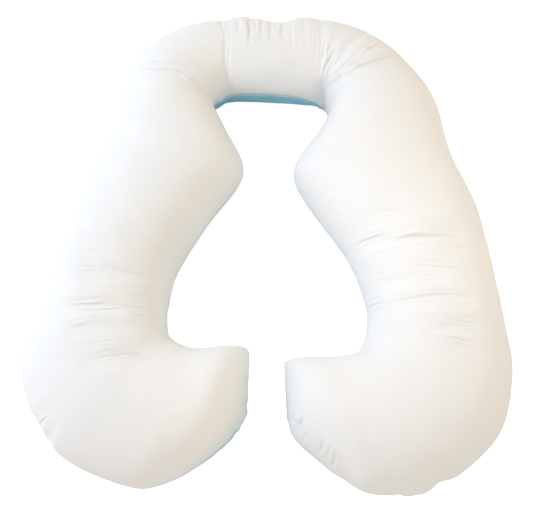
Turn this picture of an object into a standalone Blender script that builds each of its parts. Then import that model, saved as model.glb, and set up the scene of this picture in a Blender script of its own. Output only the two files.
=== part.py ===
"""A U-shaped body pillow that lies on its back, with its white face up and its blue panel down.

The frame has +Z up and the floor at z = 0, in metres. X runs across the pillow, and +Y runs
from its two feet to the bridge that joins them. The origin is under the middle of its box.

The pillow is a loft: each section runs straight across from its outer side to its inner side,
and the sections follow each other from the left foot, up the left leg, over the bridge and
down the right leg. The filled body has the crown and the folds. The back panel is a sheet that
wraps its underside, from the edge seam on the outer side to the edge seam on the inner side.
"""

from collections import namedtuple

import bmesh
import bpy
import numpy as np
from mathutils import Vector

PANEL_THICKNESS = 0.002
PANEL_GAP = 0.0004  # between the back panel and the filled body
SEAM_GAP = 0.0011  # the white face stands this far above the back panel's rim
SEAM_PULL = 0.003  # how far the stitches draw the edge seam in
WAIST_SHARE = 0.43  # a section is widest at this share of its crown's height
CROWN_FULLNESS = 0.9  # 1 is an ellipse, and less is plumper towards the edges
FLOOR_SHARE = 0.62  # the share of a section's half width that lies flat on the floor
FOOT_ROUNDING = 0.105  # the crown rises over this length from a foot's end seam
FOOT_ROLL = 0.085  # and the underside comes down over this one
END_CROWDING = 1.6  # rings crowd towards the end seams by this power
UNDERSIDE_STEP = 2  # the underside takes every second ring of the face

# Columns from the outer seam to the middle of the crown, as shares of the way to the inner
# seam. The other half mirrors them, and the underside takes the columns at these places.
HALF_COLUMNS = (0, 0.05, 0.11, 0.18, 0.255, 0.33, 0.4, 0.47)
FACE_COLUMNS = HALF_COLUMNS + tuple(1 - share for share in reversed(HALF_COLUMNS))
UNDERSIDE_PLACES = (0, 2, 3, 5, 10, 12, 13, 15)

# One row for each section, in metres. outer and inner are where it is widest, in plan, and
# crown is its height. roll_out and roll_in say how far the white face wraps round below the
# widest line before it meets the edge seam, in degrees. rings is the steps to the next row,
# an even number.
Section = namedtuple("Section", "name outer inner crown roll_out roll_in rings")
SECTIONS = (
    Section("left foot end", (-0.043, -0.380), (-0.040, -0.231), 0.140, 0, 0, 4),
    Section("left toe tip", (-0.064, -0.425), (-0.053, -0.222), 0.165, -2, 2, 6),
    Section("left toe", (-0.148, -0.501), (-0.110, -0.227), 0.195, 2, 4, 4),
    Section("left ball", (-0.230, -0.543), (-0.147, -0.232), 0.202, 14, 4, 4),
    Section("left sole", (-0.307, -0.546), (-0.180, -0.230), 0.208, 24, 4, 8),
    Section("left heel", (-0.463, -0.478), (-0.222, -0.208), 0.214, 20, 6, 10),
    Section("left ankle", (-0.557, -0.326), (-0.232, -0.163), 0.212, 10, 8, 12),
    Section("left calf", (-0.562, -0.185), (-0.230, -0.120), 0.208, 6, 12, 12),
    Section("left knee", (-0.545, -0.045), (-0.210, -0.030), 0.206, 4, 14, 10),
    Section("left thigh", (-0.493, 0.120), (-0.131, 0.110), 0.212, 4, 14, 6),
    Section("left waist", (-0.432, 0.270), (-0.055, 0.225), 0.214, 4, 10, 6),
    Section("left chest", (-0.390, 0.426), (-0.100, 0.340), 0.204, 4, 4, 12),
    Section("left shoulder", (-0.344, 0.568), (-0.138, 0.423), 0.190, 4, 1, 8),
    Section("left collar", (-0.230, 0.662), (-0.119, 0.451), 0.180, 4, -1, 6),
    Section("left bridge seam", (-0.105, 0.693), (-0.102, 0.465), 0.174, 4, -5, 6),
    Section("bridge, left", (-0.045, 0.699), (-0.041, 0.464), 0.174, 4, -8, 6),
    Section("bridge, middle", (0.030, 0.683), (0.022, 0.461), 0.174, 4, -8, 6),
    Section("bridge, right", (0.098, 0.695), (0.084, 0.457), 0.175, 4, -4, 6),
    Section("right bridge seam", (0.145, 0.689), (0.138, 0.452), 0.176, 4, 9, 10),
    Section("right collar", (0.255, 0.654), (0.161, 0.431), 0.184, 4, 20, 12),
    Section("right shoulder", (0.352, 0.573), (0.161, 0.398), 0.194, 4, 12, 6),
    Section("right chest", (0.438, 0.436), (0.126, 0.329), 0.206, 4, 4, 6),
    Section("right waist", (0.470, 0.270), (0.066, 0.225), 0.214, 4, 10, 6),
    Section("right thigh", (0.520, 0.130), (0.108, 0.130), 0.212, 4, 14, 8),
    Section("right knee", (0.541, 0.010), (0.192, 0.003), 0.206, 4, 14, 14),
    Section("right calf", (0.558, -0.150), (0.234, -0.125), 0.208, 6, 12, 14),
    Section("right ankle", (0.565, -0.306), (0.230, -0.200), 0.212, 10, 8, 8),
    Section("right heel", (0.511, -0.451), (0.208, -0.243), 0.214, 20, 6, 8),
    Section("right sole", (0.370, -0.555), (0.158, -0.253), 0.208, 24, 4, 4),
    Section("right ball", (0.272, -0.566), (0.134, -0.253), 0.202, 24, 4, 4),
    Section("right toe", (0.189, -0.545), (0.105, -0.252), 0.195, 22, 4, 6),
    Section("right toe tip", (0.065, -0.442), (0.060, -0.252), 0.165, 12, 2, 4),
    Section("right foot end", (0.047, -0.388), (0.041, -0.255), 0.140, 0, 0, 0),
)

# One row for each main fold in the white face, in metres: where it starts and ends in plan,
# how far it bows to the left of that line, and the trough's depth and half width.
Fold = namedtuple("Fold", "name start end bow depth width")
FOLDS = (
    Fold("left shoulder crease", (-0.352, 0.486), (-0.150, 0.443), 0.018, 0.009, 0.013),
    Fold("left chest", (-0.375, 0.425), (-0.290, 0.420), 0.005, 0.005, 0.014),
    Fold("left knee", (-0.470, -0.005), (-0.350, -0.030), 0.005, 0.005, 0.014),
    Fold("left calf top", (-0.455, -0.090), (-0.260, -0.092), 0.005, 0.005, 0.014),
    Fold("left calf", (-0.470, -0.165), (-0.305, -0.180), 0.006, 0.008, 0.015),
    Fold("left ankle", (-0.440, -0.225), (-0.300, -0.220), 0.006, 0.005, 0.015),
    Fold("left instep", (-0.395, -0.300), (-0.232, -0.273), 0.002, 0.008, 0.014),
    Fold("right shoulder crease", (0.140, 0.450), (0.352, 0.518), 0.004, 0.007, 0.011),
    Fold("right collar crease", (0.148, 0.460), (0.270, 0.606), 0.012, 0.006, 0.012),
    Fold("right bridge crease", (0.150, 0.480), (0.195, 0.600), 0.006, 0.004, 0.011),
    Fold("right shoulder fold", (0.240, 0.458), (0.390, 0.480), 0.008, 0.004, 0.014),
    Fold("right chest", (0.240, 0.302), (0.385, 0.312), -0.005, 0.004, 0.016),
    Fold("right thigh", (0.260, 0.062), (0.325, 0.070), 0.003, 0.003, 0.014),
    Fold("right knee inside", (0.210, -0.012), (0.275, 0.004), 0.003, 0.006, 0.013),
    Fold("right knee", (0.290, -0.012), (0.485, 0.012), 0.014, 0.009, 0.015),
    Fold("right knee low", (0.380, -0.028), (0.510, -0.022), 0.004, 0.004, 0.013),
    Fold("right calf top", (0.325, -0.070), (0.430, -0.070), 0.003, 0.005, 0.013),
    Fold("right calf inside", (0.235, -0.104), (0.405, -0.106), 0.005, 0.005, 0.014),
    Fold("right calf", (0.260, -0.168), (0.485, -0.148), 0.012, 0.007, 0.015),
    Fold("right ankle", (0.345, -0.216), (0.480, -0.212), 0.008, 0.009, 0.015),
    Fold("right ankle inside", (0.258, -0.214), (0.322, -0.203), 0.004, 0.005, 0.013),
    Fold("right instep", (0.355, -0.272), (0.475, -0.266), 0.004, 0.004, 0.015),
)

# Short gathers that run from the outer edge seam into the face. at is a row of SECTIONS,
# counted from 0, with the part of the way to the next row.
Gather = namedtuple("Gather", "at length depth width")
GATHERS = (
    Gather(1.08, 0.035, 0.006, 0.010),
    Gather(5.22, 0.060, 0.006, 0.012),
    Gather(5.45, 0.060, 0.006, 0.012),
    Gather(13.85, 0.090, 0.005, 0.011),
    Gather(15.08, 0.075, 0.005, 0.011),
    Gather(15.56, 0.050, 0.004, 0.011),
    Gather(15.90, 0.060, 0.004, 0.011),
    Gather(16.32, 0.060, 0.005, 0.013),
    Gather(27.86, 0.060, 0.014, 0.018),
    Gather(30.10, 0.090, 0.007, 0.012),
    Gather(30.55, 0.080, 0.006, 0.011),
)

# The two seams across the face where the bridge is sewn to the legs.
CROSS_SEAMS = ("left bridge seam", "right bridge seam")
CROSS_SEAM_DEPTH = 0.004
CROSS_SEAM_WIDTH = 0.009
CROSS_SEAM_STEPS = 60

FOLD_STEPS = 16  # a fold's line is read at this many points
DEPTH_AT_SEAM = 0.5  # the share of a fold's depth that is left at the edge seam

WHITE_COTTON = {"color": (0.86, 0.85, 0.83, 1.0), "roughness": 0.75}
BLUE_COTTON = {"color": (0.17, 0.45, 0.61, 1.0), "roughness": 0.8}


def ring_places():
    """Where each ring of the loft is, as a row of SECTIONS with the part to the next row."""
    last = len(SECTIONS) - 2
    places = []
    for row, section in enumerate(SECTIONS[:-1]):
        steps = np.arange(section.rings) / section.rings
        if row == 0:
            steps = steps**END_CROWDING
        if row == last:
            steps = 1 - (1 - steps) ** END_CROWDING
        places.extend(row + steps)
    return np.array(places + [len(SECTIONS) - 1.0])


def smooth(column, places):
    """A smooth curve through one column of SECTIONS, read at the places asked for."""
    known = np.array([getattr(section, column) for section in SECTIONS], float)
    known = known.reshape(len(known), -1)
    first = 2 * known[:1] - known[1:2]
    last = 2 * known[-1:] - known[-2:-1]
    padded = np.vstack([first, known, last])
    row = np.minimum(places.astype(int), len(known) - 2)
    part = (places - row)[:, None]
    before, start, end, after = (padded[row + k] for k in range(4))
    slope_in = (end - before) / 2
    slope_out = (after - start) / 2
    rise = end - start
    curve = start + part * slope_in
    curve = curve + part**2 * (3 * rise - 2 * slope_in - slope_out)
    return curve + part**3 * (slope_in + slope_out - 2 * rise)


def from_end(outer, inner):
    """How far each ring is from the nearer foot's end, along the middle of the pillow."""
    middle = (outer + inner) / 2
    steps = np.linalg.norm(np.diff(middle, axis=0), axis=1)
    walked = np.concatenate([[0.0], np.cumsum(steps)])
    return np.minimum(walked, walked[-1] - walked)[:, None]


def round_up(distance, radius):
    """A quarter circle's rise from 0 at the end seam to 1 at the radius and beyond."""
    left = 1 - np.minimum(distance / radius, 1)
    return np.sqrt(1 - left**2)


def surface(places, side):
    """Points of the face (side 1) or the underside (side -1), a row for each ring."""
    outer, inner = smooth("outer", places), smooth("inner", places)
    crown = smooth("crown", places)
    roll_out = np.radians(smooth("roll_out", places))
    roll_in = np.radians(smooth("roll_in", places))
    if side > 0:
        columns = np.array(FACE_COLUMNS)
        angle = -roll_out + (np.pi + roll_out + roll_in) * columns
    else:
        columns = np.array(FACE_COLUMNS)[list(UNDERSIDE_PLACES)]
        angle = -roll_out - (np.pi - roll_out - roll_in) * columns

    half = np.linalg.norm(inner - outer, axis=1)[:, None] / 2
    across = -np.cos(angle)
    across[:, :1] += SEAM_PULL / half
    across[:, -1:] -= SEAM_PULL / half
    share = ((1 + across) / 2)[..., None]
    plan = outer[:, None] * (1 - share) + inner[:, None] * share

    end = from_end(outer, inner)
    waist = WAIST_SHARE * crown
    above = np.clip(np.sin(angle), 0, 1) ** CROWN_FULLNESS * round_up(end, FOOT_ROUNDING)
    past = np.clip((np.abs(np.cos(angle)) - FLOOR_SHARE) / (1 - FLOOR_SHARE), 0, 1)
    below = np.sqrt(1 - past**2) * round_up(end, FOOT_ROLL)
    height = np.where(np.sin(angle) < 0, waist - waist * below, waist + (crown - waist) * above)
    return np.concatenate([plan, height[..., None]], axis=2)


def outward(points):
    """The direction that each point of the face looks, by its neighbours in the grid."""
    along = np.gradient(points, axis=0)
    over = np.gradient(points, axis=1)
    normal = np.cross(over, along)
    return normal / np.linalg.norm(normal, axis=2, keepdims=True)


def arc(start, end, bow, steps=FOLD_STEPS):
    """Points from start to end on an arc that bows by that much to the left."""
    start, end = np.array(start), np.array(end)
    part = np.linspace(0, 1, steps)[:, None]
    left = np.array([start[1] - end[1], end[0] - start[0]])
    left = left / np.linalg.norm(left)
    return start + part * (end - start) + left * bow * 4 * part * (1 - part)


def trough(plan, line, width):
    """How deep each point of the plan lies in a trough along the line, from 1 at its middle,
    with a low ridge on both sides, and how far along the line it is, from 0 to 1."""
    offsets = np.linalg.norm(plan[..., None, :] - line, axis=-1)
    nearest = offsets.argmin(axis=-1)
    away = (offsets.min(axis=-1) / width) ** 2 / 2
    return (1 - away) * np.exp(-away), nearest / (len(line) - 1)


def fold_depths(face, places):
    """How far the folds, the gathers and the cross seams sink each point of the face."""
    plan = face[..., :2]
    depth = np.zeros(plan.shape[:2])
    for fold in FOLDS:
        shape, part = trough(plan, arc(fold.start, fold.end, fold.bow), fold.width)
        depth += fold.depth * shape * np.sqrt(np.sin(np.pi * np.clip(part, 0, 1)))
    for gather in GATHERS:
        at = np.array([gather.at])
        root = smooth("outer", at)[0]
        away = smooth("inner", at)[0] - root
        tip = root + away / np.linalg.norm(away) * gather.length
        shape, part = trough(plan, arc(root, tip, 0.0), gather.width)
        depth += gather.depth * shape * np.cos(np.pi / 2 * part)
    for row, section in enumerate(SECTIONS):
        if section.name in CROSS_SEAMS:
            line = arc(section.outer, section.inner, 0.0, steps=CROSS_SEAM_STEPS)
            shape, _ = trough(plan, line, CROSS_SEAM_WIDTH)
            depth += CROSS_SEAM_DEPTH * np.clip(shape, 0, 1)
    depth[:, [0, -1]] *= DEPTH_AT_SEAM
    depth[[0, -1]] = 0.0
    return depth


def straighten_seams(face):
    """Between the underside's rings the edge seams run straight, so that both sides meet."""
    for edge in (0, -1):
        ends = face[::UNDERSIDE_STEP, edge]
        face[1::UNDERSIDE_STEP, edge] = (ends[:-1] + ends[1:]) / 2


def middle_of(face):
    """The middle of the pillow's plan, which becomes the origin."""
    plan = face[..., :2].reshape(-1, 2)
    low, high = plan.min(axis=0), plan.max(axis=0)
    return np.append((low + high) / 2, 0.0)


def grid_points(bm, points):
    """A vertex for each point of a grid of points."""
    return [[bm.verts.new(Vector(p)) for p in row] for row in points]


def grid_faces(bm, rows, flip=False):
    """A quad for each cell of a grid of vertices."""
    for row, after in zip(rows, rows[1:]):
        for k in range(len(row) - 1):
            corners = (row[k], after[k], after[k + 1], row[k + 1])
            bm.faces.new(corners[::-1] if flip else corners)


def material(name, look):
    made = bpy.data.materials.new(name)
    made.use_nodes = True
    shader = made.node_tree.nodes["Principled BSDF"]
    shader.inputs["Base Color"].default_value = look["color"]
    shader.inputs["Roughness"].default_value = look["roughness"]
    shader.inputs["Metallic"].default_value = 0.0
    return made


def new_object(name, bm, collection, look):
    """A smooth-shaded object made from a bmesh, with its own material."""
    mesh = bpy.data.meshes.new(name)
    bm.to_mesh(mesh)
    bm.free()
    mesh.shade_smooth()
    mesh.materials.append(material(name, look))
    made = bpy.data.objects.new(name, mesh)
    collection.objects.link(made)
    return made


def make_back_panel(underside, collection):
    """The blue panel: an open surface, from seam to seam, thickened inwards."""
    lowered = underside.copy()
    lowered[:, [0, -1], 2] -= SEAM_GAP
    lowered[[0, -1], 1:-1, 2] -= SEAM_GAP
    bm = bmesh.new()
    rows = grid_points(bm, lowered)
    grid_faces(bm, rows)
    panel = new_object("back_panel", bm, collection, BLUE_COTTON)
    thicken = panel.modifiers.new("Cloth thickness", "SOLIDIFY")
    thicken.thickness = PANEL_THICKNESS
    thicken.offset = -1.0
    return panel


def inner_side(panel, shape):
    """The grid of points just inside the back panel, where the filled body ends."""
    inset = PANEL_THICKNESS + PANEL_GAP
    points = np.array([v.co - v.normal * inset for v in panel.data.vertices])
    return points.reshape(shape)


def make_body(face, lining, collection):
    """The filled body: the white face, a ledge under the edge seam, and the underside that
    the back panel hugs."""
    bm = bmesh.new()
    top = grid_points(bm, face)
    under = grid_points(bm, lining)
    grid_faces(bm, top, flip=True)
    grid_faces(bm, under)
    for k in range(len(under) - 1):
        for edge in (0, -1):
            seam = range(k * UNDERSIDE_STEP, (k + 1) * UNDERSIDE_STEP + 1)
            bm.faces.new([top[n][edge] for n in seam] + [under[k + 1][edge], under[k][edge]])
    for j, (place, after) in enumerate(zip(UNDERSIDE_PLACES, UNDERSIDE_PLACES[1:])):
        for end in (0, -1):
            bm.faces.new(top[end][place : after + 1] + [under[end][j + 1], under[end][j]])
    bmesh.ops.recalc_face_normals(bm, faces=bm.faces)
    return new_object("pillow_body", bm, collection, WHITE_COTTON)


def main():
    for old in list(bpy.data.objects):
        bpy.data.objects.remove(old)
    pillow = bpy.data.collections.new("body_pillow")
    bpy.context.scene.collection.children.link(pillow)

    places = ring_places()
    face = surface(places, side=1)
    depth = fold_depths(face, places)
    face = face - outward(face) * depth[..., None]
    straighten_seams(face)
    underside = surface(places[::UNDERSIDE_STEP], side=-1)
    for edge in (0, -1):
        underside[:, edge] = face[::UNDERSIDE_STEP, edge]

    middle = middle_of(face)
    panel = make_back_panel(underside - middle, pillow)
    lining = inner_side(panel, underside.shape)
    make_body(face - middle, lining, pillow)


main()
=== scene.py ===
import math

import bmesh
import bpy
import numpy as np
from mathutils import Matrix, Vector, noise
from mathutils.bvhtree import BVHTree
from mathutils.kdtree import KDTree


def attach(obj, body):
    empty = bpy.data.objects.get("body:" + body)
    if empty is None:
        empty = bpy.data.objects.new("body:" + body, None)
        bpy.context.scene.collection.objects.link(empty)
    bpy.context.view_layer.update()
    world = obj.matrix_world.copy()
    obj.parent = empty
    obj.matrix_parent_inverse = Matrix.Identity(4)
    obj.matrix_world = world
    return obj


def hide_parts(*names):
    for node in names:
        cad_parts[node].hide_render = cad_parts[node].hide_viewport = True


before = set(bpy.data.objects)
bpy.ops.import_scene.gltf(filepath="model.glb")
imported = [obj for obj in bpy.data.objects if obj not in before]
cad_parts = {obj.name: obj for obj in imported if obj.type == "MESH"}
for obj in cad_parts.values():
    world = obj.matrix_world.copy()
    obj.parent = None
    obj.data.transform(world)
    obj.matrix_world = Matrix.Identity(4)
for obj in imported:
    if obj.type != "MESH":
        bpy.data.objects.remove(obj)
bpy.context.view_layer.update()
print("frame loaded")

# Both pieces are made from their solids: triangles are paired into quads, then subdivided.
pillow = {
    "weld": 1e-5,
    "pairAngle": 60.0,  # degrees between two triangles that may become a quad
    "nearBack": 0.0035,  # the white face is what lies further than this from the back panel
    "levels": 2,
    "fill": 0.75,
    "liningShare": 0.12,  # of the hidden underside's triangles, this share is kept
    "liningDrop": 0.003,  # and it lies this much further in than its solid
    "liningMost": 0.01,  # a point is of the underside when its face mask is below this
    "faceLeast": 0.5,  # and rows are cut where both ends' mask is above this
    "forwardShare": 0.7,  # an edge runs along the pillow when this much of its length does
    "evenRounds": 2,
    "evenPull": 0.5,
    "evenFade": (0.001, 0.006),  # held up to the first distance from the seam, free from the second
    "lineRounds": 4,
    "pointsAtOnce": 8000,
}

# The pillow's middle line in plan, from the left foot over the bridge to the right foot.
middleLine = [
    (-0.044, -0.374), (-0.060, -0.393), (-0.131, -0.430), (-0.244, -0.455), (-0.341, -0.407),
    (-0.394, -0.311), (-0.397, -0.219), (-0.379, -0.104), (-0.312, 0.049), (-0.245, 0.182),
    (-0.246, 0.317), (-0.240, 0.429), (-0.175, 0.488), (-0.105, 0.511), (0.019, 0.501),
    (0.140, 0.500), (0.206, 0.474), (0.256, 0.421), (0.280, 0.317), (0.267, 0.182),
    (0.312, 0.064), (0.363, -0.060), (0.395, -0.204), (0.396, -0.319), (0.358, -0.413),
    (0.263, -0.469), (0.148, -0.462), (0.065, -0.411), (0.044, -0.386),
]

# Creases in the white face, in metres: the points that each runs through in plan, its depth (below
# 0 for a raised fold) and half width, and the ridge that runs beside it as a share of the depth,
# on its left above 0 and on its right below 0.
creases = [
    # left shoulder
    ([(-0.362, 0.418), (-0.345, 0.425), (-0.311, 0.414), (-0.276, 0.411), (-0.241, 0.410)],
     0.0090, 0.0048, -0.6),
    ([(-0.271, 0.412), (-0.241, 0.410), (-0.215, 0.401), (-0.190, 0.384), (-0.156, 0.372)],
     0.0072, 0.0048, -0.6),
    ([(-0.330, 0.434), (-0.277, 0.428), (-0.241, 0.422), (-0.211, 0.411)], 0.0038, 0.0060, 0.5),
    ([(-0.308, 0.382), (-0.248, 0.382)], 0.0008, 0.0045, -0.3),
    ([(-0.310, 0.446), (-0.273, 0.442)], 0.0011, 0.0030, 0.7),
    ([(-0.300, 0.459), (-0.255, 0.452)], 0.0009, 0.0030, 0.7),
    ([(-0.352, 0.329), (-0.316, 0.325), (-0.283, 0.330)], 0.0016, 0.0032, 0.6),
    ([(-0.365, 0.365), (-0.322, 0.359)], 0.0009, 0.0032, -0.5),
    ([(-0.347, 0.310), (-0.282, 0.303)], 0.0007, 0.0032, 0.5),
    ([(-0.258, 0.326), (-0.216, 0.330)], 0.0006, 0.0032, -1.2),
    # left leg
    ([(-0.456, -0.027), (-0.419, -0.033)], 0.0008, 0.0032, -0.8),
    ([(-0.454, -0.042), (-0.393, -0.055)], 0.0011, 0.0032, 0.8),
    ([(-0.458, -0.055), (-0.424, -0.063)], 0.0010, 0.0032, -0.8),
    ([(-0.453, -0.093), (-0.431, -0.093), (-0.393, -0.096), (-0.358, -0.100)], 0.0020, 0.0030, 0.6),
    ([(-0.446, -0.115), (-0.389, -0.115)], 0.0012, 0.0032, 0.5),
    ([(-0.379, -0.122), (-0.346, -0.118)], 0.0012, 0.0030, -0.5),
    ([(-0.485, -0.127), (-0.444, -0.132)], 0.0012, 0.0030, -0.5),
    ([(-0.431, -0.137), (-0.387, -0.136)], 0.0017, 0.0030, -0.8),
    ([(-0.388, -0.128), (-0.336, -0.144), (-0.268, -0.154)], 0.0007, 0.0032, 1.6),
    ([(-0.454, -0.159), (-0.388, -0.165)], 0.0009, 0.0038, 0.5),
    ([(-0.308, -0.194), (-0.285, -0.200), (-0.242, -0.207)], 0.0010, 0.0030, 1.2),
    ([(-0.446, -0.227), (-0.406, -0.229), (-0.364, -0.224)], 0.0024, 0.0028, 1.0),
    ([(-0.443, -0.245), (-0.418, -0.242), (-0.356, -0.240), (-0.313, -0.234)], 0.0022, 0.0028, 0.7),
    ([(-0.408, -0.259), (-0.371, -0.259)], 0.0015, 0.0028, 1.1),
    ([(-0.335, -0.225), (-0.313, -0.230), (-0.251, -0.226)], 0.0015, 0.0028, 0.8),
    ([(-0.311, -0.245), (-0.287, -0.246), (-0.240, -0.249)], 0.0013, 0.0028, 0.8),
    ([(-0.430, -0.282), (-0.401, -0.276)], 0.0020, 0.0036, 0.9),
    ([(-0.436, -0.305), (-0.377, -0.296)], 0.0008, 0.0032, 1.0),
    ([(-0.379, -0.322), (-0.358, -0.316), (-0.332, -0.311)], 0.0016, 0.0032, -0.7),
    ([(-0.371, -0.342), (-0.335, -0.336)], 0.0010, 0.0030, 0.6),
    ([(-0.305, -0.313), (-0.276, -0.306)], 0.0008, 0.0036, -0.5),
    ([(-0.385, -0.362), (-0.343, -0.355), (-0.301, -0.346), (-0.263, -0.338), (-0.238, -0.334)],
     -0.0024, 0.0030, 0.7),
    ([(-0.385, -0.369), (-0.343, -0.362), (-0.301, -0.353), (-0.263, -0.345), (-0.238, -0.341)],
     -0.0018, 0.0072, 0.0),
    ([(-0.313, -0.471), (-0.277, -0.471)], 0.0006, 0.0036, -0.5),
    ([(-0.362, -0.493), (-0.340, -0.492), (-0.295, -0.489)], 0.0008, 0.0032, 0.9),
    ([(-0.194, -0.558), (-0.177, -0.548), (-0.166, -0.534)], 0.0013, 0.0028, 1.1),
    ([(-0.299, -0.600), (-0.260, -0.602), (-0.227, -0.599)], 0.0012, 0.0030, 1.0),
    ([(-0.510, -0.484), (-0.491, -0.478), (-0.468, -0.477)], 0.0026, 0.0036, 0.7),
    ([(-0.499, -0.495), (-0.475, -0.506), (-0.458, -0.522)], 0.0026, 0.0040, -0.6),
    # right shoulder
    ([(0.143, 0.389), (0.168, 0.390), (0.200, 0.399), (0.222, 0.408), (0.252, 0.420),
      (0.294, 0.439), (0.340, 0.452)], 0.0044, 0.0036, 1.0),
    ([(0.151, 0.396), (0.181, 0.413), (0.212, 0.436), (0.245, 0.465), (0.285, 0.516)],
     0.0036, 0.0036, -0.8),
    ([(0.144, 0.400), (0.148, 0.424), (0.163, 0.454), (0.182, 0.479)], 0.0030, 0.0036, 1.0),
    ([(0.143, 0.438), (0.148, 0.471), (0.154, 0.510)], 0.0024, 0.0036, -0.9),
    ([(0.227, 0.413), (0.267, 0.422), (0.343, 0.444)], 0.0024, 0.0034, -0.9),
    ([(0.207, 0.426), (0.249, 0.460), (0.296, 0.493)], 0.0028, 0.0036, 0.9),
    ([(0.243, 0.434), (0.290, 0.453), (0.353, 0.472)], 0.0026, 0.0034, -0.8),
    ([(0.166, 0.425), (0.191, 0.452), (0.210, 0.484)], 0.0022, 0.0034, 0.8),
    ([(0.164, 0.388), (0.202, 0.406), (0.237, 0.424)], 0.0018, 0.0028, -1.0),
    ([(0.314, 0.382), (0.367, 0.396)], 0.0009, 0.0030, 1.3),
    ([(0.265, 0.394), (0.318, 0.406)], 0.0008, 0.0032, 0.7),
    ([(0.215, 0.377), (0.250, 0.390)], 0.0008, 0.0032, 0.6),
    # right leg
    ([(0.192, 0.128), (0.219, 0.134), (0.247, 0.136)], 0.0018, 0.0028, -0.4),
    ([(0.322, 0.194), (0.363, 0.195), (0.402, 0.195)], 0.0009, 0.0032, 0.7),
    ([(0.306, 0.203), (0.348, 0.203), (0.400, 0.207)], 0.0006, 0.0032, 1.4),
    ([(0.236, -0.009), (0.271, 0.003), (0.312, 0.003), (0.365, -0.002)], 0.0013, 0.0036, -0.4),
    ([(0.457, 0.010), (0.494, 0.019)], 0.0010, 0.0030, -0.4),
    ([(0.208, -0.062), (0.238, -0.056), (0.280, -0.050)], 0.0036, 0.0034, 0.5),
    ([(0.289, -0.072), (0.333, -0.058), (0.363, -0.060), (0.436, -0.060)], 0.0054, 0.0042, 0.9),
    ([(0.375, -0.054), (0.434, -0.059), (0.489, -0.061)], 0.0012, 0.0030, 1.2),
    ([(0.240, -0.096), (0.275, -0.092), (0.308, -0.086), (0.409, -0.082)], 0.0018, 0.0030, 0.7),
    ([(0.343, -0.091), (0.391, -0.100), (0.439, -0.101), (0.500, -0.103)], 0.0016, 0.0034, -0.6),
    ([(0.205, -0.075), (0.221, -0.070)], 0.0016, 0.0030, 0.5),
    ([(0.328, -0.137), (0.357, -0.134), (0.411, -0.140), (0.452, -0.138)], 0.0023, 0.0028, 0.7),
    ([(0.486, -0.127), (0.514, -0.120)], 0.0010, 0.0032, 0.4),
    ([(0.336, -0.160), (0.396, -0.158)], 0.0015, 0.0028, -0.5),
    ([(0.235, -0.141), (0.279, -0.145)], 0.0009, 0.0032, 0.5),
    ([(0.332, -0.179), (0.385, -0.176)], 0.0017, 0.0028, 0.8),
    ([(0.236, -0.173), (0.260, -0.174)], 0.0012, 0.0030, 0.6),
    ([(0.259, -0.190), (0.286, -0.187), (0.327, -0.191)], 0.0016, 0.0028, -0.5),
    ([(0.237, -0.209), (0.269, -0.207)], 0.0023, 0.0028, 0.6),
    ([(0.263, -0.225), (0.303, -0.212), (0.397, -0.203), (0.466, -0.210)], 0.0022, 0.0030, 0.7),
    ([(0.359, -0.231), (0.404, -0.228), (0.477, -0.223)], 0.0016, 0.0030, 0.6),
    ([(0.377, -0.260), (0.417, -0.260)], 0.0008, 0.0032, 0.5),
    ([(0.265, -0.277), (0.314, -0.267)], 0.0021, 0.0030, -0.4),
    ([(0.347, -0.286), (0.400, -0.276), (0.437, -0.277), (0.491, -0.286)], 0.0044, 0.0044, -0.8),
    ([(0.322, -0.293), (0.371, -0.302)], 0.0014, 0.0028, 0.5),
    ([(0.388, -0.307), (0.425, -0.312), (0.455, -0.315)], 0.0017, 0.0028, 0.9),
    ([(0.357, -0.339), (0.401, -0.337), (0.430, -0.340), (0.479, -0.338)], 0.0014, 0.0036, -0.6),
    ([(0.370, -0.362), (0.403, -0.362)], 0.0008, 0.0034, 0.4),
    # the sole of the right foot, from its edge seam inwards
    ([(0.052, -0.461), (0.065, -0.478), (0.080, -0.484)], 0.0026, 0.0036, 0.8),
    ([(0.059, -0.491), (0.071, -0.484), (0.086, -0.473)], 0.0034, 0.0036, 0.9),
    ([(0.074, -0.513), (0.086, -0.504), (0.099, -0.499)], 0.0026, 0.0036, 0.6),
    ([(0.113, -0.547), (0.120, -0.537), (0.126, -0.522)], 0.0040, 0.0040, -0.8),
    ([(0.126, -0.556), (0.137, -0.546), (0.142, -0.530)], 0.0026, 0.0036, -0.8),
    ([(0.141, -0.574), (0.148, -0.562), (0.149, -0.548)], 0.0028, 0.0036, 0.7),
    # the bridge, from its outer edge seam inwards, and the seam where the left leg meets it
    ([(-0.150, 0.600), (-0.138, 0.560)], 0.0020, 0.0050, 0.6),
    ([(-0.122, 0.610), (-0.120, 0.580), (-0.112, 0.530), (-0.104, 0.480)], 0.0012, 0.0042, 0.9),
    ([(-0.098, 0.585), (-0.095, 0.500), (-0.098, 0.430), (-0.101, 0.410)], 0.0005, 0.0034, -0.8),
    ([(-0.110, 0.520), (-0.108, 0.460), (-0.110, 0.405)], 0.0005, 0.0034, -0.7),
    ([(-0.078, 0.612), (-0.074, 0.560), (-0.072, 0.520)], 0.0022, 0.0055, 0.8),
    ([(-0.046, 0.615), (-0.044, 0.560), (-0.043, 0.490)], 0.0032, 0.0052, -0.9),
    ([(-0.012, 0.610), (-0.013, 0.570), (-0.012, 0.515)], 0.0020, 0.0055, -0.9),
    ([(0.012, 0.600), (0.011, 0.560), (0.011, 0.505)], 0.0024, 0.0056, -0.9),
    ([(0.042, 0.600), (0.043, 0.565), (0.041, 0.505)], 0.0030, 0.0070, -0.8),
    ([(0.064, 0.560), (0.065, 0.470)], 0.0020, 0.0050, 0.7),
    ([(0.098, 0.605), (0.101, 0.560), (0.100, 0.480)], 0.0022, 0.0058, 0.6),
    ([(0.141, 0.590), (0.141, 0.500), (0.138, 0.410)], 0.0008, 0.0034, -1.2),
]

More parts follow.
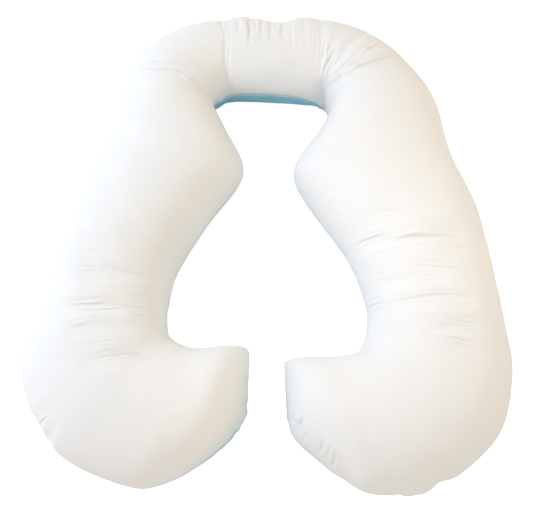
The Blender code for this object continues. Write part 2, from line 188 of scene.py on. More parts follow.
# Each crease strays a little from its line, and fainter ones lie beside it.
creaseLook = {
    "seed": 5,
    "lineRounds": 3,
    "stray": 0.0008,
    "strayLength": 0.050,
    "phase": (0, 6.3),
    "reach": 4,  # of the half width
    "ridgeAway": 1.7,  # of the half width
    "away": (0.0070, 0.0140),
    "lengthShare": (0.35, 0.75),
    "depthShare": (0.25, 0.50),
    "besideMost": 0.0012,  # the deepest that a fainter one may be
    "slide": 0.5,  # of the length left free
    "turn": 5.0,  # degrees
    "seamFade": 0.006,
    "cut": 0.0002,  # rows are cut finer where creases, widened so much, are deeper than this
    "cutWiden": 2.5,
    "cutAgain": 0.0012,  # and once more where these are deeper than this
    "cutAgainWiden": 1.5,
}

# Small dents that stitches draw into the edge: where they are in plan, how far each pushes the
# cloth in X and Y, and how wide it is. The last one squares a corner.
dents = [
    ((-0.046, -0.382), (-0.0018, 0.0), 0.012),
    ((-0.047, -0.425), (-0.0032, 0.0), 0.009),
    ((-0.052, -0.470), (-0.0020, 0.0010), 0.008),
    ((-0.074, -0.486), (-0.0030, 0.0030), 0.007),
    ((-0.116, -0.520), (-0.0010, 0.0015), 0.010),
    ((0.292, -0.627), (0.0, 0.0040), 0.008),
    ((0.330, -0.627), (0.0, 0.0020), 0.010),
    ((0.046, -0.470), (0.0015, 0.0), 0.008),
    ((0.150, 0.386), (0.0030, 0.0110), 0.024),  # the inner right corner under the bridge
]

# Under the bridge the edge seam sags: at each place in X, how far inwards and how far down.
sag = {
    "places": [
        (-0.150, 0.0, 0.0), (-0.128, 0.002, 0.003), (-0.115, 0.005, 0.009), (-0.102, 0.006, 0.010),
        (-0.088, 0.004, 0.006), (-0.062, 0.003, 0.005), (0.070, 0.003, 0.004),
        (0.096, 0.002, 0.004), (0.123, 0.003, 0.006), (0.136, 0.003, 0.016), (0.143, 0.002, 0.030),
        (0.165, 0.0, 0.036), (0.185, 0.0, 0.010), (0.200, 0.0, 0.0),
    ],
    "begins": (0.34, 0.37),  # between these places in Y
    "ends": (0.46, 0.52),
    "reach": 0.040,  # from the seam
    "most": 0.85,  # of the height above the floor
}

# Small puckers that the stitches raise along the whole edge seam.
puckers = {
    "seed": 7,
    "pitch": 0.019,
    "pitchSpread": 0.5,
    "depth": 0.0013,
    "depthSpread": (0.3, 1.0),
    "depthPower": 1.5,  # more of them are shallow above 1
    "halfWidth": 0.0036,
    "widthSpread": (0.7, 1.4),
    "reach": 0.022,
    "flatAtSeam": 0.002,
    "markStep": 0.001,  # between the places where their depth is worked out
}

# Soft lumps of the filling, and faint wrinkles across the legs between the main creases.
softness = {
    "seamFade": 0.045,
    "lumpSize": 0.11,
    "lumpHeight": 0.0022,
    "smallLumpSize": 0.045,
    "smallLumpHeight": 0.0007,
    "wrinkleAlong": 0.0105,
    "wrinkleAcross": 0.085,
    "wrinkleHeight": 0.0011,
    "wrinkleSharpness": 3,
    "patchAlong": 0.070,
    "patchAcross": 0.110,
    "patchLayer": 5.0,  # another place in the noise than the wrinkles' own
    "patchMore": 0.3,  # patches are larger above 0
    # where along the middle line they are thickest: its place, half the stretch and how much
    "wrinkleBands": [(0.62, 0.17, 1.0), (0.82, 0.12, 0.5), (1.34, 0.10, 0.7), (1.80, 0.10, 0.9),
                     (2.36, 0.22, 1.0), (2.05, 0.12, 0.5)],
    "elsewhere": 0.18,
    "cutBand": 0.6,  # rows are cut finer where the band is stronger than this
}


def pairedCopy(node):
    mesh = bmesh.new()
    mesh.from_mesh(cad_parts[node].data)
    bmesh.ops.remove_doubles(mesh, verts=mesh.verts, dist=pillow["weld"])
    bmesh.ops.join_triangles(
        mesh,
        faces=mesh.faces,
        angle_face_threshold=math.radians(pillow["pairAngle"]),
        angle_shape_threshold=math.pi,
    )
    return mesh


def nodeTree(node):
    mesh = bmesh.new()
    mesh.from_mesh(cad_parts[node].data)
    tree = BVHTree.FromBMesh(mesh)
    mesh.free()
    return tree


def appliedObject(name, holder):  # the object with its modifiers made into plain mesh
    graph = bpy.context.evaluated_depsgraph_get()
    fine = bpy.data.meshes.new_from_object(holder.evaluated_get(graph))
    bpy.data.objects.remove(holder)
    fine.name = name
    fine.shade_smooth()
    made = bpy.data.objects.new(name, fine)
    bpy.context.scene.collection.objects.link(made)
    return made


def finerObject(name, mesh, levels):
    coarse = bpy.data.meshes.new(name)
    mesh.to_mesh(coarse)
    mesh.free()
    holder = bpy.data.objects.new(name, coarse)
    bpy.context.scene.collection.objects.link(holder)
    finer = holder.modifiers.new("finer", "SUBSURF")
    finer.levels = finer.render_levels = levels
    return appliedObject(name, holder)


def thinLining(body):  # the underside that the back panel hides keeps few triangles
    onFace = readMask(body, "onFace")
    hidden = body.vertex_groups.new(name="lining")
    under = onFace < pillow["liningMost"]
    hidden.add(np.flatnonzero(under).tolist(), 1.0, "REPLACE")
    lining = sum(1 for face in body.data.polygons if under[list(face.vertices)].all())
    fewer = body.modifiers.new("fewer", "DECIMATE")
    fewer.vertex_group = "lining"
    fewer.ratio = 1 - lining / len(body.data.polygons) * (1 - pillow["liningShare"])
    thinned = appliedObject(body.name, body)
    thinned.vertex_groups.clear()
    return thinned


def readPoints(obj, what="co"):
    values = np.empty(len(obj.data.vertices) * 3, np.float32)
    obj.data.vertices.foreach_get(what, values)
    return values.reshape(-1, 3).astype(float)


def readEdges(obj):
    ends = np.empty(len(obj.data.edges) * 2, np.int32)
    obj.data.edges.foreach_get("vertices", ends)
    return ends.reshape(-1, 2)


def writePoints(obj, points):
    obj.data.vertices.foreach_set("co", points.astype(np.float32).ravel())
    obj.data.update()


def readMask(obj, name):
    values = np.empty(len(obj.data.vertices), np.float32)
    obj.data.attributes[name].data.foreach_get("value", values)
    return values.astype(float)


def smoothStep(value, low, high):
    part = np.clip((value - low) / (high - low), 0, 1)
    return part * part * (3 - 2 * part)


def roundedLine(corners, rounds):  # its short pieces' middles, directions and the way walked
    corners = np.array(corners, float)
    for _ in range(rounds):  # each corner is cut off at a quarter of the way to the next one
        before, after = corners[:-1], corners[1:]
        cut = np.stack([before * 0.75 + after * 0.25, before * 0.25 + after * 0.75], axis=1)
        corners = np.concatenate([corners[:1], cut.reshape(-1, 2), corners[-1:]])
    steps = np.diff(corners, axis=0)
    lengths = np.linalg.norm(steps, axis=1)
    walked = np.concatenate([[0.0], np.cumsum(lengths)])
    return (corners[:-1] + corners[1:]) / 2, steps / lengths[:, None], walked[:-1] + lengths / 2


def wayAlong(points):  # where each point is along the pillow and across it, and which way is on
    middle, ahead, walked = roundedLine(middleLine, pillow["lineRounds"])
    along = np.empty(len(points))
    across = np.empty(len(points))
    onward = np.empty((len(points), 2))
    for first in range(0, len(points), pillow["pointsAtOnce"]):
        part = slice(first, first + pillow["pointsAtOnce"])
        some = points[part, :2]
        gaps = ((some[:, None, :] - middle[None, :, :]) ** 2).sum(axis=2)
        best = gaps.argmin(axis=1)
        offset = some - middle[best]
        on = ahead[best]
        along[part] = walked[best] + (offset * on).sum(axis=1)
        across[part] = offset[:, 1] * on[:, 0] - offset[:, 0] * on[:, 1]
        onward[part] = on
    return along, across, onward


def cutRows(obj, chosen):  # halves the rows of quads that cross the pillow, at the chosen points
    ends = readEdges(obj)
    points = readPoints(obj)
    way = points[ends[:, 1]] - points[ends[:, 0]]
    onward = wayAlong(points[ends].mean(axis=1))[2]
    forward = np.abs((way[:, :2] * onward).sum(axis=1))
    wanted = forward > pillow["forwardShare"] * np.linalg.norm(way, axis=1)
    wanted &= chosen[ends].any(axis=1)
    if "onFace" in obj.data.attributes:
        wanted &= readMask(obj, "onFace")[ends].min(axis=1) > pillow["faceLeast"]
    mesh = bmesh.new()
    mesh.from_mesh(obj.data)
    mesh.edges.ensure_lookup_table()
    rows = [mesh.edges[i] for i in np.flatnonzero(wanted)]
    bmesh.ops.subdivide_edges(mesh, edges=rows, cuts=1)
    mesh.to_mesh(obj.data)
    mesh.free()


def evenOut(obj, held):  # evens the points with their neighbours, except where they are held
    ends = readEdges(obj)
    points = readPoints(obj)
    count = np.bincount(ends.ravel(), minlength=len(points))
    for _ in range(pillow["evenRounds"]):
        total = np.zeros_like(points)
        np.add.at(total, ends[:, 0], points[ends[:, 1]])
        np.add.at(total, ends[:, 1], points[ends[:, 0]])
        mean = total / np.maximum(count, 1)[:, None]
        points += (mean - points) * (pillow["evenPull"] * (1 - held))[:, None]
    writePoints(obj, points)


def seamLine(edges):  # the edge seam's points in order, with the way walked to each
    links = {}
    for edge in edges:
        for near, far in (edge.verts, reversed(edge.verts)):
            links.setdefault(near, []).append(far)
    loop = [edges[0].verts[0]]
    before = None
    for _ in range(len(links) - 1):
        onward = [vert for vert in links[loop[-1]] if vert is not before]
        before = loop[-1]
        loop.append(onward[0])
    line = np.array([vert.co for vert in loop])
    for _ in range(pillow["levels"]):  # rounded in the way that subdividing rounds a sharp edge
        corners = line * 0.75 + (np.roll(line, 1, axis=0) + np.roll(line, -1, axis=0)) * 0.125
        middles = (line + np.roll(line, -1, axis=0)) * 0.5
        line = np.stack([corners, middles], axis=1).reshape(-1, 3)
    steps = np.linalg.norm(np.diff(line, axis=0), axis=1)
    return line, np.concatenate([[0.0], np.cumsum(steps)])


def seamPlaces(points, line, walked):  # how far each point is from the seam, and where along it
    tree = KDTree(len(line))
    for i, place in enumerate(line):
        tree.insert(Vector(place), i)
    tree.balance()
    away = np.empty(len(points))
    along = np.empty(len(points))
    for i, point in enumerate(points):
        _, nearest, distance = tree.find(Vector(point))
        away[i] = distance
        along[i] = walked[nearest]
    return away, along


def puckerProfile(length):  # how deep the puckers are at each mark along the seam
    draw = np.random.default_rng(puckers["seed"])
    marks = np.arange(0.0, length, puckers["markStep"])
    profile = np.zeros(len(marks))
    place = 0.0
    while place < length:
        depth = draw.uniform(*puckers["depthSpread"]) ** puckers["depthPower"]
        width = puckers["halfWidth"] * draw.uniform(*puckers["widthSpread"])
        profile += depth * np.exp(-(((marks - place) / width) ** 2))
        spread = draw.uniform(-1, 1) * puckers["pitchSpread"]
        place += puckers["pitch"] * (1 + spread)
    return marks, profile


def puckerDepth(away, along, length):
    marks, profile = puckerProfile(length)
    fade = np.exp(-away / puckers["reach"])
    hold = 1 - np.exp(-((away / puckers["flatAtSeam"]) ** 2))
    return puckers["depth"] * np.interp(along, marks, profile) * fade * hold


def creaseDepth(plan, through, depth, width, ridge, phase):
    middle, ahead, walked = roundedLine(through, creaseLook["lineRounds"])
    length = walked[-1] + walked[0]
    reach = creaseLook["reach"] * width + creaseLook["stray"]
    inside = (plan > middle.min(axis=0) - reach) & (plan < middle.max(axis=0) + reach)
    near = np.flatnonzero(inside.all(axis=1))
    offsets = plan[near][:, None] - middle[None]
    best = (offsets**2).sum(axis=2).argmin(axis=1)
    offset = offsets[np.arange(len(near)), best]
    on = ahead[best]
    place = walked[best] + (offset * on).sum(axis=1)
    stray = creaseLook["stray"] * np.sin(place / creaseLook["strayLength"] * 2 * np.pi + phase)
    side = (offset[:, 1] * on[:, 0] - offset[:, 0] * on[:, 1] - stray) / width
    beside = side - math.copysign(creaseLook["ridgeAway"], ridge)
    shape = np.exp(-(side**2)) - abs(ridge) * np.exp(-(beside**2))
    part = np.clip(place / length, 0, 1)
    out = np.zeros(len(plan))
    out[near] = depth * shape * np.sin(np.pi * part)
    return out


def allCreases(plan, widen=1.0):
    draw = np.random.default_rng(creaseLook["seed"])
    total = np.zeros(len(plan))
    for through, depth, width, ridge in creases:
        phase = draw.uniform(*creaseLook["phase"])
        total += creaseDepth(plan, through, depth, width * widen, ridge, phase)
        line = np.array(through)
        run = line[-1] - line[0]
        left = np.array([-run[1], run[0]]) / np.linalg.norm(run)
        centre = line.mean(axis=0)
        for side in (-1, 1):
            away = draw.uniform(*creaseLook["away"])
            share = draw.uniform(*creaseLook["lengthShare"])
            slide = draw.uniform(-creaseLook["slide"], creaseLook["slide"]) * (1 - share)
            turn = math.radians(draw.uniform(-1, 1) * creaseLook["turn"])
            spun = (line - centre) * share
            spun = spun * math.cos(turn) + spun[:, ::-1] * (-1, 1) * math.sin(turn)
            spun = spun + centre + run * slide + left * side * away
            weaker = min(depth * draw.uniform(*creaseLook["depthShare"]), creaseLook["besideMost"])
            phase = draw.uniform(*creaseLook["phase"])
            total += creaseDepth(plan, spun, weaker, width * widen, ridge, phase)
    return total


def pushDents(points):  # the same push for both pieces, so that their seam stays together
    for place, push, width in dents:
        away = ((points[:, :2] - place) ** 2).sum(axis=1)
        points[:, :2] += np.exp(-away / width**2)[:, None] * push
    return points


def sagSeam(points, away):  # the same for both pieces too
    x, y, z = points.T
    across, inwards, down = np.array(sag["places"]).T
    much = np.exp(-((away / sag["reach"]) ** 2))
    much *= smoothStep(y, *sag["begins"]) * (1 - smoothStep(y, *sag["ends"]))
    lower = np.minimum(np.interp(x, across, down) * much, sag["most"] * z)
    return np.stack([x, y - np.interp(x, across, inwards) * much, z - lower], axis=1)


def fillingHeight(points):
    height = np.empty(len(points))
    for i, point in enumerate(points):
        lump = noise.noise(Vector(point) / softness["lumpSize"]) * softness["lumpHeight"]
        small = noise.noise(Vector(point) / softness["smallLumpSize"])
        height[i] = lump + small * softness["smallLumpHeight"]
    return height


def wrinkleBand(along):
    band = np.full(len(along), softness["elsewhere"])
    for middle, half, much in softness["wrinkleBands"]:
        band = np.maximum(band, much * np.exp(-(((along - middle) / half) ** 2)))
    return band


def wrinkleHeight(along, across):
    band = wrinkleBand(along)
    layer = softness["patchLayer"]
    height = np.empty(len(along))
    for i, (on, over) in enumerate(zip(along, across)):
        place = (on / softness["wrinkleAlong"], over / softness["wrinkleAcross"], 0.0)
        patch = (on / softness["patchAlong"], over / softness["patchAcross"], layer)
        much = max(noise.noise(Vector(patch)) + softness["patchMore"], 0.0)
        height[i] = much * (1 - softness["wrinkleSharpness"] * abs(noise.noise(Vector(place))))
    return height * band * softness["wrinkleHeight"]


def storeWay(obj, along, across, points):  # the way of the cloth, for the weave and fine creases
    way = np.stack([along, across, points[:, 2]], axis=1).astype(np.float32)
    obj.data.attributes.new("clothWay", "FLOAT_VECTOR", "POINT")
    obj.data.attributes["clothWay"].data.foreach_set("vector", way.ravel())


# Near the edge seam each cloth gets painted light and shade: the white one a painted bluish shade,
# standing in for shade and light reflected from the blue cloth, on the inner side of the legs and
# round the feet, and the blue one a paler painted light under the bridge.
seamPaintedLight = {
    "whiteFade": 0.020,
    "whitePower": 1.5,  # the fade ends more sharply above 1
    "inward": (0.05, 0.10),  # across the pillow from its middle line
    "bridge": (0.30, 0.38),  # from here on in Y
    "feet": (0.36, 0.46),  # and from here on the other way
    "feetShare": 0.6,
    "feetFade": 0.048,
    "feetPower": 3,
    "blueFade": 0.007,
}


# painted shade: a bluish grey mask near the seam, standing in for shade and light reflected from
# the blue cloth
def whitePaintedShadeMask(points, across, away):
    legs = smoothStep(-across, *seamPaintedLight["inward"])
    legs *= 1 - smoothStep(points[:, 1], *seamPaintedLight["bridge"])
    legs *= np.exp(-((away / seamPaintedLight["whiteFade"]) ** seamPaintedLight["whitePower"]))
    feet = smoothStep(-points[:, 1], *seamPaintedLight["feet"]) * seamPaintedLight["feetShare"]
    feet *= np.exp(-((away / seamPaintedLight["feetFade"]) ** seamPaintedLight["feetPower"]))
    return np.maximum(legs, feet)


# painted light: the blue cloth made paler near the seam under the bridge, where more light falls
def bluePaintedLightMask(points, away):
    return np.exp(-away / seamPaintedLight["blueFade"]) * smoothStep(points[:, 1], *seamPaintedLight["bridge"])


# stores the mask of painted light and shade near the seam
def storePaintedLightMask(obj, mask):
    obj.data.attributes.new("paintedLightMask", "FLOAT", "POINT")
    obj.data.attributes["paintedLightMask"].data.foreach_set("value", mask.astype(np.float32))


def makePillowBody():
    mesh = pairedCopy("pillow_body")
    back = nodeTree("back_panel")
    away = {v: back.find_nearest(v.co)[3] for v in mesh.verts}
    white = {f for f in mesh.faces if max(away[v] for v in f.verts) > pillow["nearBack"]}
    sharp = mesh.edges.layers.float.new("crease_edge")
    onFace = mesh.verts.layers.float.new("onFace")
    for face in white:
        for vert in face.verts:
            vert[onFace] = 1.0
    seam = [e for e in mesh.edges if len([f for f in e.link_faces if f in white]) == 1]
    for edge in seam:
        edge[sharp] = 1.0
    line, walked = seamLine(seam)
    print("edge seam found:", len(seam), "edges,", round(walked[-1], 2), "m of it")
    body = finerObject("pillowBody", mesh, pillow["levels"])
    body = thinLining(body)
    points = readPoints(body)
    banded = wrinkleBand(wayAlong(points)[0]) > softness["cutBand"]
    creased = np.abs(allCreases(points[:, :2], creaseLook["cutWiden"])) > creaseLook["cut"]
    cutRows(body, banded | creased)
    creased = np.abs(allCreases(readPoints(body)[:, :2], creaseLook["cutAgainWiden"]))
    cutRows(body, creased > creaseLook["cutAgain"])
    print("pillow body made finer:", len(body.data.polygons), "faces")

    away, atSeam = seamPlaces(readPoints(body), line, walked)
    evenOut(body, 1 - smoothStep(away, *pillow["evenFade"]))
    points, normals = readPoints(body), readPoints(body, "normal")
    along, across, _ = wayAlong(points)
    storeWay(body, along, across, points)
    # painted shade near the seam on the white cloth
    storePaintedLightMask(body, whitePaintedShadeMask(points, across, away))
    depth = puckerDepth(away, atSeam, walked[-1])
    depth += allCreases(points[:, :2]) * smoothStep(away, 0.0, creaseLook["seamFade"])
    soft = wrinkleHeight(along, across) + fillingHeight(points)
    depth -= soft * smoothStep(away, 0.0, softness["seamFade"])
    face = readMask(body, "onFace")
    depth = depth * face + pillow["liningDrop"] * (1 - face)
    writePoints(body, sagSeam(pushDents(points - normals * depth[:, None]), away))
    return body, line, walked


backPanel = {
    "rimAngle": 60.0,  # degrees: the sheet's sides meet its narrow rim more sharply than this
    "thickness": 0.0018,
    "flat": (1.18, 1.30),
    "area": 1.11,
    "flatFoot": 0.02,  # below this height the cloth lies smooth on the floor
    "seamFade": 0.02,  # wrinkles begin at the seam and are whole this far from it
}


def outerFaces(mesh):  # the faces reached from the sheet's lowest one without crossing its rim
    lowest = min(mesh.faces, key=lambda face: face.calc_center_median().z)
    reached = {lowest}
    waiting = [lowest]
    while waiting:
        for edge in waiting.pop().edges:
            if edge.calc_face_angle(math.pi) < math.radians(backPanel["rimAngle"]):
                onward = [face for face in edge.link_faces if face not in reached]
                reached.update(onward)
                waiting.extend(onward)
    return reached


def makeBackPanel(line, walked):
    mesh = pairedCopy("back_panel")
    outer = outerFaces(mesh)
    rest = [face for face in mesh.faces if face not in outer]
    bmesh.ops.delete(mesh, geom=rest, context="FACES")
    panel = finerObject("backPanel", mesh, pillow["levels"])
    cutRows(panel, readPoints(panel)[:, 2] > backPanel["flatFoot"])
    points, normals = readPoints(panel), readPoints(panel, "normal")
    away, atSeam = seamPlaces(points, line, walked)
    along, across, _ = wayAlong(points)
    storeWay(panel, along, across, points)
    # painted light near the seam on the blue cloth
    storePaintedLightMask(panel, bluePaintedLightMask(points, away))
    depth = puckerDepth(away, atSeam, walked[-1])
    depth -= wrinkleHeight(along, across) * smoothStep(away, 0.0, backPanel["seamFade"])
    depth *= smoothStep(points[:, 2], 0.0, backPanel["flatFoot"])
    writePoints(panel, sagSeam(pushDents(points - normals * depth[:, None]), away))
    thick = panel.modifiers.new("cloth thickness", "SOLIDIFY")
    thick.thickness = backPanel["thickness"]
    thick.offset = -1.0  # inwards from the outer side
    return panel


def addSocket(tree, name, way, kind, value=None):
    socket = tree.interface.new_socket(name, in_out=way, socket_type=kind)
    if value is not None:
        socket.default_value = value


def mixTints(tree, much, tint, other):  # a Mix node's colour sockets are 6 and 7 in and 2 out
    mixed = tree.nodes.new("ShaderNodeMix")
    mixed.data_type = "RGBA"
    tree.links.new(much, mixed.inputs[0])
    tree.links.new(tint, mixed.inputs[6])
    tree.links.new(other, mixed.inputs[7])
    return mixed.outputs[2]


def makeWeaveGroup():  # two crossing sets of threads, along the cloth and across it
    tree = bpy.data.node_groups.new("plainWeave", "ShaderNodeTree")
    addSocket(tree, "Way", "INPUT", "NodeSocketVector")
    addSocket(tree, "Threads", "INPUT", "NodeSocketFloat", 6000.0)
    addSocket(tree, "Height", "OUTPUT", "NodeSocketFloat")
    nodes, links = tree.nodes, tree.links
    given = nodes.new("NodeGroupInput")
    scaled = nodes.new("ShaderNodeVectorMath")
    scaled.operation = "SCALE"
    links.new(given.outputs["Way"], scaled.inputs[0])
    links.new(given.outputs["Threads"], scaled.inputs["Scale"])
    parts = nodes.new("ShaderNodeSeparateXYZ")
    links.new(scaled.outputs[0], parts.inputs[0])
    waves = []
    for axis in "XY":
        wave = nodes.new("ShaderNodeMath")
        wave.operation = "SINE"
        links.new(parts.outputs[axis], wave.inputs[0])
        waves.append(wave)
    crossed = nodes.new("ShaderNodeMath")
    crossed.operation = "MULTIPLY"
    links.new(waves[0].outputs[0], crossed.inputs[0])
    links.new(waves[1].outputs[0], crossed.inputs[1])
    made = nodes.new("NodeGroupOutput")
    links.new(crossed.outputs[0], made.inputs["Height"])
    return tree


fineWrinkles = {
    "along": 150.0,  # steps of the noise per metre
    "across": 16.0,
    "detail": 2.0,
    "distortion": 0.4,
    "patchScale": 11.0,
    "patchDetail": 1.0,
    "patchRange": (0.40, 0.65),  # none below the first value of the noise, whole from the second
}


def makeWrinkleGroup():  # hair-fine creases across the cloth, thick in some patches
    tree = bpy.data.node_groups.new("fineWrinkles", "ShaderNodeTree")
    addSocket(tree, "Way", "INPUT", "NodeSocketVector")
    addSocket(tree, "Along", "INPUT", "NodeSocketFloat", fineWrinkles["along"])
    addSocket(tree, "Across", "INPUT", "NodeSocketFloat", fineWrinkles["across"])
    addSocket(tree, "Height", "OUTPUT", "NodeSocketFloat")
    nodes, links = tree.nodes, tree.links
    given = nodes.new("NodeGroupInput")
    stretch = nodes.new("ShaderNodeCombineXYZ")
    links.new(given.outputs["Along"], stretch.inputs["X"])
    links.new(given.outputs["Across"], stretch.inputs["Y"])
    place = nodes.new("ShaderNodeVectorMath")
    place.operation = "MULTIPLY"
    links.new(given.outputs["Way"], place.inputs[0])
    links.new(stretch.outputs[0], place.inputs[1])
    lines = nodes.new("ShaderNodeTexNoise")
    lines.inputs["Scale"].default_value = 1.0  # the place is scaled already
    lines.inputs["Detail"].default_value = fineWrinkles["detail"]
    lines.inputs["Distortion"].default_value = fineWrinkles["distortion"]
    links.new(place.outputs[0], lines.inputs["Vector"])
    patches = nodes.new("ShaderNodeTexNoise")
    patches.inputs["Scale"].default_value = fineWrinkles["patchScale"]
    patches.inputs["Detail"].default_value = fineWrinkles["patchDetail"]
    links.new(given.outputs["Way"], patches.inputs["Vector"])
    where = nodes.new("ShaderNodeMapRange")
    where.inputs["From Min"].default_value = fineWrinkles["patchRange"][0]
    where.inputs["From Max"].default_value = fineWrinkles["patchRange"][1]
    links.new(patches.outputs["Fac"], where.inputs["Value"])
    height = nodes.new("ShaderNodeMath")
    height.operation = "MULTIPLY"
    links.new(lines.outputs["Fac"], height.inputs[0])
    links.new(where.outputs["Result"], height.inputs[1])
    made = nodes.new("NodeGroupOutput")
    links.new(height.outputs[0], made.inputs["Height"])
    return tree


toneDrift = {
    "detail": 3.0,
    "range": (0.35, 0.65),  # one tint below the first value of the noise, the other from the second
}


def makeToneGroup():  # slow drift between two tints of the same cloth
    tree = bpy.data.node_groups.new("clothTone", "ShaderNodeTree")
    addSocket(tree, "Tint", "INPUT", "NodeSocketColor", (0.86, 0.85, 0.83, 1.0))
    addSocket(tree, "Other tint", "INPUT", "NodeSocketColor", (0.80, 0.80, 0.79, 1.0))
    addSocket(tree, "Scale", "INPUT", "NodeSocketFloat", 9.0)
    addSocket(tree, "Color", "OUTPUT", "NodeSocketColor")
    addSocket(tree, "Drift", "OUTPUT", "NodeSocketFloat")
    nodes, links = tree.nodes, tree.links
    given = nodes.new("NodeGroupInput")
    place = nodes.new("ShaderNodeTexCoord")
    cloud = nodes.new("ShaderNodeTexNoise")
    cloud.inputs["Detail"].default_value = toneDrift["detail"]
    links.new(place.outputs["Object"], cloud.inputs["Vector"])
    links.new(given.outputs["Scale"], cloud.inputs["Scale"])
    spread = nodes.new("ShaderNodeMapRange")
    spread.inputs["From Min"].default_value = toneDrift["range"][0]
    spread.inputs["From Max"].default_value = toneDrift["range"][1]
    links.new(cloud.outputs["Fac"], spread.inputs["Value"])
    drift = spread.outputs["Result"]
    mixed = mixTints(tree, drift, given.outputs["Tint"], given.outputs["Other tint"])
    made = nodes.new("NodeGroupOutput")
    links.new(mixed, made.inputs["Color"])
    links.new(drift, made.inputs["Drift"])
    return tree


def makePaintedLightGroup():  # mixes in the painted light and shade tint where the mask says
    tree = bpy.data.node_groups.new("paintedLightTint", "ShaderNodeTree")
    addSocket(tree, "Color", "INPUT", "NodeSocketColor", (0.86, 0.85, 0.83, 1.0))
    addSocket(tree, "Painted light tint", "INPUT", "NodeSocketColor", (0.70, 0.80, 0.80, 1.0))
    addSocket(tree, "Mask", "INPUT", "NodeSocketFloat", 0.0)
    addSocket(tree, "Color", "OUTPUT", "NodeSocketColor")
    given = tree.nodes.new("NodeGroupInput").outputs
    mixed = mixTints(tree, given["Mask"], given["Color"], given["Painted light tint"])
    made = tree.nodes.new("NodeGroupOutput")
    tree.links.new(mixed, made.inputs["Color"])
    return tree


whiteCloth = {
    "tint": (0.872, 0.852, 0.830, 1.0),
    "otherTint": (0.848, 0.832, 0.816, 1.0),
    # painted bluish shade near the seam, standing in for shade and light reflected from the blue
    # cloth
    "paintedLightTint": (0.66, 0.77, 0.79, 1.0),
    "toneScale": 7.0,
    "roughness": (0.52, 0.62),
    "sheen": 0.08,
    "sheenRoughness": 0.4,
    "threads": 7000.0,  # radians of thread wave per metre
    "weaveHeight": 0.00010,
    "wrinkleHeight": 0.0011,
    "napScale": 260.0,
}

blueCloth = {
    "tint": (0.240, 0.560, 0.700, 1.0),
    "otherTint": (0.200, 0.500, 0.640, 1.0),
    # painted light: a paler blue near the seam, where more light falls
    "paintedLightTint": (0.58, 0.72, 0.78, 1.0),
    "toneScale": 8.0,
    "roughness": (0.62, 0.74),
    "sheen": 0.15,
    "sheenRoughness": 0.5,
    "threads": 7000.0,
    "weaveHeight": 0.00012,
    "wrinkleHeight": 0.0011,
    "napScale": 260.0,
}

# What both cloths have in common.
surface = {
    "specular": 0.3,
    "wrinkleStrength": 0.6,
    "napDetail": 4.0,
    "napHeight": 0.0003,
    "napStrength": 0.2,
    "weaveStrength": 0.3,
}


def addBump(nodes, links, height, distance, strength, under):
    bump = nodes.new("ShaderNodeBump")
    bump.inputs["Strength"].default_value = strength
    bump.inputs["Distance"].default_value = distance
    links.new(height, bump.inputs["Height"])
    if under is not None:
        links.new(under.outputs["Normal"], bump.inputs["Normal"])
    return bump


def makeCloth(name, look, groups):
    material = bpy.data.materials.new(name)
    material.use_nodes = True
    nodes, links = material.node_tree.nodes, material.node_tree.links
    shader = nodes["Principled BSDF"]
    tone = nodes.new("ShaderNodeGroup")
    tone.node_tree = groups["tone"]
    tone.inputs["Tint"].default_value = look["tint"]
    tone.inputs["Other tint"].default_value = look["otherTint"]
    tone.inputs["Scale"].default_value = look["toneScale"]
    # painted light and shade near the edge seam, mixed into the base colour
    mask = nodes.new("ShaderNodeAttribute")
    mask.attribute_name = "paintedLightMask"
    edge = nodes.new("ShaderNodeGroup")
    edge.node_tree = groups["edge"]
    edge.inputs["Painted light tint"].default_value = look["paintedLightTint"]
    links.new(tone.outputs["Color"], edge.inputs["Color"])
    links.new(mask.outputs["Fac"], edge.inputs["Mask"])
    links.new(edge.outputs["Color"], shader.inputs["Base Color"])
    rough = nodes.new("ShaderNodeMapRange")
    rough.inputs["To Min"].default_value = look["roughness"][0]
    rough.inputs["To Max"].default_value = look["roughness"][1]
    links.new(tone.outputs["Drift"], rough.inputs["Value"])
    links.new(rough.outputs["Result"], shader.inputs["Roughness"])
    shader.inputs["Sheen Weight"].default_value = look["sheen"]
    shader.inputs["Sheen Roughness"].default_value = look["sheenRoughness"]
    shader.inputs["Specular IOR Level"].default_value = surface["specular"]

    way = nodes.new("ShaderNodeAttribute")
    way.attribute_name = "clothWay"
    wrinkles = nodes.new("ShaderNodeGroup")
    wrinkles.node_tree = groups["wrinkles"]
    links.new(way.outputs["Vector"], wrinkles.inputs["Way"])
    weave = nodes.new("ShaderNodeGroup")
    weave.node_tree = groups["weave"]
    weave.inputs["Threads"].default_value = look["threads"]
    links.new(way.outputs["Vector"], weave.inputs["Way"])
    nap = nodes.new("ShaderNodeTexNoise")
    nap.inputs["Scale"].default_value = look["napScale"]
    nap.inputs["Detail"].default_value = surface["napDetail"]
    bump = None
    for height, distance, strength in (
        (wrinkles.outputs["Height"], look["wrinkleHeight"], surface["wrinkleStrength"]),
        (nap.outputs["Fac"], surface["napHeight"], surface["napStrength"]),
        (weave.outputs["Height"], look["weaveHeight"], surface["weaveStrength"]),
    ):
        bump = addBump(nodes, links, height, distance, strength, bump)
    links.new(bump.outputs["Normal"], shader.inputs["Normal"])
    return material


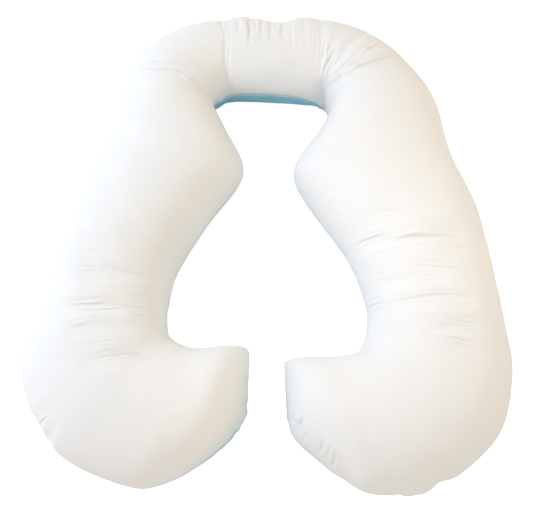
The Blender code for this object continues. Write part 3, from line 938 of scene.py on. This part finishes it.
studio = {
    "floorSize": 12.0,
    "floorDrop": 0.0005,  # below the pillow's own lowest point
    "floorColor": (0.93, 0.93, 0.93, 1.0),
    "floorRoughness": 0.9,
    "floorGlow": 0.80,
    "glowColor": (1.0, 1.0, 1.0, 1.0),
    "skyColor": (1.0, 0.947, 0.868, 1.0),
    "skyStrength": 0.80,
    "lamps": [
        # name, place, aim, size, spread in degrees, watts, colour
        ("windowLight", (-2.5, 0.7, 1.9), (0.0, 0.0, 0.1), 0.8, 180, 50.0, (0.545, 0.71, 0.965)),
        ("warmFill", (2.4, 0.9, 1.6), (0.0, 0.0, 0.1), 1.6, 180, 6.6, (1.0, 0.77, 0.15)),
        ("rightFill", (0.15, -0.1, 1.7), (0.38, -0.05, 0.1), 0.5, 48, 0.30, (0.97, 0.98, 1.0)),
        ("footFill", (0.0, -0.5, 1.5), (-0.12, -0.36, 0.1), 0.4, 30, 0.04, (1.0, 0.96, 0.88)),
    ],
}


def makeStudio():
    floorMesh = bmesh.new()
    bmesh.ops.create_grid(floorMesh, x_segments=1, y_segments=1, size=studio["floorSize"] / 2)
    data = bpy.data.meshes.new("studioFloor")
    floorMesh.to_mesh(data)
    floorMesh.free()
    floor = bpy.data.objects.new("studioFloor", data)
    floor.location.z = -studio["floorDrop"]
    bpy.context.scene.collection.objects.link(floor)
    paper = bpy.data.materials.new("studioPaper")
    paper.use_nodes = True
    nodes, links = paper.node_tree.nodes, paper.node_tree.links
    shader = nodes["Principled BSDF"]
    shader.inputs["Base Color"].default_value = studio["floorColor"]
    shader.inputs["Roughness"].default_value = studio["floorRoughness"]
    shader.inputs["Emission Color"].default_value = studio["glowColor"]
    seen = nodes.new("ShaderNodeLightPath")  # the floor looks white, and sends up no extra light
    glow = nodes.new("ShaderNodeMath")
    glow.operation = "MULTIPLY"
    glow.inputs[1].default_value = studio["floorGlow"]
    links.new(seen.outputs["Is Camera Ray"], glow.inputs[0])
    links.new(glow.outputs[0], shader.inputs["Emission Strength"])
    data.materials.append(paper)

    for name, place, aim, size, spread, watts, color in studio["lamps"]:
        lamp = bpy.data.lights.new(name, "AREA")
        lamp.shape = "DISK"
        lamp.size = size
        lamp.spread = math.radians(spread)
        lamp.energy = watts
        lamp.color = color
        holder = bpy.data.objects.new(name, lamp)
        holder.location = place
        holder.rotation_euler = (Vector(aim) - Vector(place)).to_track_quat("-Z", "Y").to_euler()
        bpy.context.scene.collection.objects.link(holder)

    world = bpy.data.worlds.new("studioSky")
    world.use_nodes = True
    sky = world.node_tree.nodes["Background"]
    sky.inputs["Color"].default_value = studio["skyColor"]
    sky.inputs["Strength"].default_value = studio["skyStrength"]
    bpy.context.scene.world = world
    bpy.context.scene.view_settings.view_transform = "Standard"


view = {
    "aim": (-0.0006, -0.0657, 0.09),
    "tilt": 22.0,  # degrees off straight down, towards the feet
    "distance": 2.1,
    "lens": 58.22,  # millimetres
    "sensor": 36.0,
}


def makeCamera():
    tilt = math.radians(view["tilt"])
    back = Vector((0.0, -math.sin(tilt), math.cos(tilt)))
    camera = bpy.data.objects.new("camera", bpy.data.cameras.new("camera"))
    camera.data.lens = view["lens"]
    camera.data.sensor_width = view["sensor"]
    camera.location = Vector(view["aim"]) + back * view["distance"]
    camera.rotation_euler = (-back).to_track_quat("-Z", "Y").to_euler()
    bpy.context.scene.collection.objects.link(camera)
    bpy.context.scene.camera = camera


makeCamera()
makeStudio()
groups = {
    "weave": makeWeaveGroup(),
    "wrinkles": makeWrinkleGroup(),
    "tone": makeToneGroup(),
    # the group that mixes painted light and shade near the seam into the cloth's colour
    "edge": makePaintedLightGroup(),
}
print("camera, studio and material groups made")

body, seamPoints, seamWalked = makePillowBody()
body.data.materials.clear()
body.data.materials.append(makeCloth("whiteCloth", whiteCloth, groups))
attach(body, "root")
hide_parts("pillow_body")
print("pillow body done")

panel = makeBackPanel(seamPoints, seamWalked)
panel.data.materials.clear()
panel.data.materials.append(makeCloth("blueCloth", blueCloth, groups))
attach(panel, "root")
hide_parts("back_panel")
print("back panel done")
